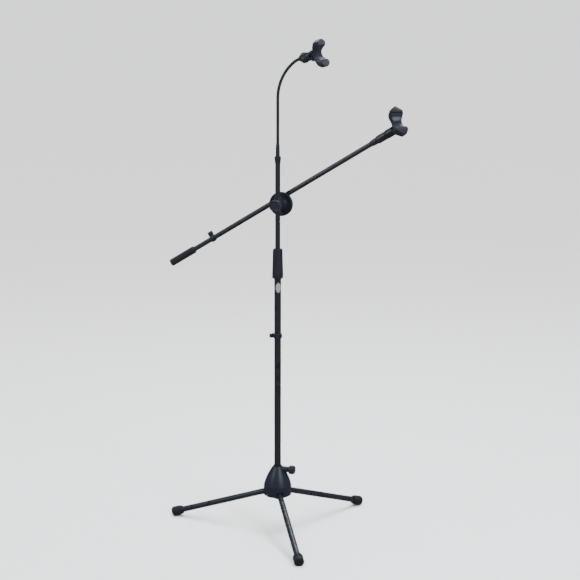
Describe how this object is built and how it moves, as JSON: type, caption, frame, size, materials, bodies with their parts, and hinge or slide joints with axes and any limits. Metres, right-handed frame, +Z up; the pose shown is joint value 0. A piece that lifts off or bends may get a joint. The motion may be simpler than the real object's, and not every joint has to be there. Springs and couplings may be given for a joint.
{
  "type": "boom microphone stand",
  "caption": "Free-standing microphone stand with a folding tripod base, telescoping column, counterbalanced boom in a tilting clamp, flexible gooseneck and a microphone clip on each arm.",
  "frame": {"origin": "where the column axis meets the floor", "axes": "+Z up along the column; +X the way the boom rises and the gooseneck bends; the boom lies on the +Y side of the column"},
  "size_m": [0.8154, 0.6604, 1.5886],
  "materials": {
    "hub_plastic": "satin moulded ABS",
    "core_plastic": "matt moulded nylon",
    "black_tube": "satin black powder coat",
    "black_metal": "black powder coat on die-cast metal",
    "hose_skin": "black coated flexible hose",
    "black_plastic": "satin moulded plastic",
    "rubber": "matt black rubber",
    "pad_rubber": "grey-black soft pads",
    "zinc_steel": "zinc-plated steel",
    "brass": "plain brass",
    "label": "plain silvery film label"
  },
  "bodies": {
    "base": {"hub_shell": "hub_plastic", "hub_core": "core_plastic", "hub_bush": "core_plastic", "hub_screws": "zinc_steel", "leg_pins": "zinc_steel", "knob_insert": "brass"},
    "leg_1": {"leg_tube_1": "black_tube", "leg_knuckle_1": "black_metal", "leg_foot_1": "rubber"},
    "leg_2": {"leg_tube_2": "black_tube", "leg_knuckle_2": "black_metal", "leg_foot_2": "rubber"},
    "leg_3": {"leg_tube_3": "black_tube", "leg_knuckle_3": "black_metal", "leg_foot_3": "rubber"},
    "base_knob": {"base_knob": "black_plastic", "base_knob_screw": "zinc_steel"},
    "column": {"lower_tube": "black_tube", "column_end_plug": "rubber", "column_label": "label", "clutch_collar": "black_plastic", "clutch_collet": "core_plastic"},
    "column_clip": {"column_cable_clip": "black_plastic"},
    "grip": {"clutch_grip": "rubber"},
    "mast": {"upper_tube": "black_tube", "mast_guide_bush": "core_plastic", "mast_top_nut": "black_metal"},
    "hose_1": {"gooseneck_sleeve": "black_metal", "gooseneck_1": "hose_skin"},
    "hose_2": {"gooseneck_2": "hose_skin"},
    "hose_3": {"gooseneck_3": "hose_skin"},
    "hose_4": {"gooseneck_4": "hose_skin"},
    "hose_5": {"gooseneck_5": "hose_skin"},
    "hose_6": {"gooseneck_6": "hose_skin", "gooseneck_collar": "black_metal"},
    "top_socket": {"top_clip_socket": "black_plastic", "top_clip_insert": "brass", "top_clip_screw": "zinc_steel", "top_clip_nut": "zinc_steel"},
    "top_clip": {"top_clip_body": "black_plastic", "top_clip_pads": "pad_rubber"},
    "liner": {"clamp_liner": "core_plastic"},
    "clamp": {"clamp_body": "black_metal", "draw_bolt": "zinc_steel", "rear_nut": "zinc_steel", "friction_washer": "rubber", "thrust_washer": "zinc_steel"},
    "clamp_knob": {"clamp_knob": "black_plastic"},
    "boom_holder": {"boom_disc_front": "black_plastic", "boom_disc_rear": "black_plastic"},
    "boom": {"boom_tube": "black_tube", "boom_grip": "rubber", "boom_ferrule": "black_metal", "boom_collar": "black_metal"},
    "boom_ring": {"boom_cable_clip": "black_plastic"},
    "boom_socket": {"boom_clip_socket": "black_plastic", "boom_clip_insert": "brass", "boom_clip_fasteners": "zinc_steel"},
    "boom_clip": {"boom_clip_body": "black_plastic", "boom_clip_pads": "rubber"}
  },
  "joints": [
    {"name": "leg_fold_1", "type": "hinge", "parent": "base", "child": "leg_1", "pos_m": [-0.027, 0, 0.11985], "axis": [0, -1, 0], "range_deg": [0, 71]},
    {"name": "leg_fold_2", "type": "hinge", "parent": "base", "child": "leg_2", "pos_m": [0.0135, 0.02338, 0.11985], "axis": [-0.866, 0.5, 0], "range_deg": [0, 71]},
    {"name": "leg_fold_3", "type": "hinge", "parent": "base", "child": "leg_3", "pos_m": [0.0135, -0.02338, 0.11985], "axis": [0.866, 0.5, 0], "range_deg": [0, 71]},
    {"name": "base_knob_turn", "type": "hinge", "parent": "base", "child": "base_knob", "pos_m": [0.049, 0, 0.201], "axis": [1, 0, 0], "range_deg": [0, 360]},
    {"name": "column_slide", "type": "slide", "parent": "base", "child": "column", "axis": [0, 0, 1], "range_m": [-0.06, 0.05]},
    {"name": "column_clip_slide", "type": "slide", "parent": "column", "child": "column_clip", "axis": [0, 0, 1], "range_m": [-0.2, 0.12]},
    {"name": "grip_turn", "type": "hinge", "parent": "column", "child": "grip", "pos_m": [0, 0, 0.854], "axis": [0, 0, 1], "range_deg": [0, 180]},
    {"name": "mast_slide", "type": "slide", "parent": "column", "child": "mast", "axis": [0, 0, 1], "range_m": [-0.06, 0.2]},
    {"name": "clamp_slide", "type": "slide", "parent": "mast", "child": "liner", "axis": [0, 0, 1], "range_m": [-0.04, 0.09]},
    {"name": "clamp_swivel", "type": "hinge", "parent": "liner", "child": "clamp", "pos_m": [0, 0, 1.067], "axis": [0, 0, 1], "continuous": true},
    {"name": "clamp_knob_turn", "type": "hinge", "parent": "clamp", "child": "clamp_knob", "pos_m": [0, -0.025, 1.067], "axis": [0, 1, 0], "range_deg": [0, 360]},
    {"name": "boom_tilt", "type": "hinge", "parent": "clamp", "child": "boom_holder", "pos_m": [0, 0.037, 1.067], "axis": [0, -1, 0], "range_deg": [-75, 22]},
    {"name": "boom_slide", "type": "slide", "parent": "boom_holder", "child": "boom", "axis": [0.8554, 0, 0.518], "range_m": [-0.12, 0.12]},
    {"name": "boom_ring_slide", "type": "slide", "parent": "boom", "child": "boom_ring", "axis": [0.8554, 0, 0.518], "range_m": [-0.06, 0.07]},
    {"name": "gooseneck_turn", "type": "hinge", "parent": "mast", "child": "hose_1", "pos_m": [0, 0, 1.2218], "axis": [0, 0, 1], "range_deg": [-180, 180]},
    {"name": "hose_bend_1", "type": "hinge", "parent": "hose_1", "child": "hose_2", "pos_m": [0, 0, 1.3295], "axis": [0, 1, 0], "range_deg": [-16, 16]},
    {"name": "hose_bend_2", "type": "hinge", "parent": "hose_2", "child": "hose_3", "pos_m": [0, 0, 1.403], "axis": [0, 1, 0], "range_deg": [-16, 16]},
    {"name": "hose_bend_3", "type": "hinge", "parent": "hose_3", "child": "hose_4", "pos_m": [0.00613, 0, 1.44487], "axis": [0, 1, 0], "range_deg": [-16, 16]},
    {"name": "hose_bend_4", "type": "hinge", "parent": "hose_4", "child": "hose_5", "pos_m": [0.02402, 0, 1.48323], "axis": [0, 1, 0], "range_deg": [-16, 16]},
    {"name": "hose_bend_5", "type": "hinge", "parent": "hose_5", "child": "hose_6", "pos_m": [0.05215, 0, 1.51484], "axis": [0, 1, 0], "range_deg": [-16, 16]},
    {"name": "top_socket_turn", "type": "hinge", "parent": "hose_6", "child": "top_socket", "pos_m": [0.08591, 0, 1.52952], "axis": [0.9703, 0, 0.2419], "range_deg": [-180, 180]},
    {"name": "top_clip_tilt", "type": "hinge", "parent": "top_socket", "child": "top_clip", "pos_m": [0.11308, 0, 1.53629], "axis": [-0.2419, 0, 0.9703], "range_deg": [-43, 67]},
    {"name": "boom_socket_turn", "type": "hinge", "parent": "boom", "child": "boom_socket", "pos_m": [0.34933, 0.037, 1.29902], "axis": [0.8554, 0, 0.518], "range_deg": [-180, 180]},
    {"name": "boom_clip_tilt", "type": "hinge", "parent": "boom_socket", "child": "boom_clip", "pos_m": [0.37328, 0.037, 1.31353], "axis": [-0.4082, 0.6157, 0.674], "range_deg": [-10, 100]}
  ]
}
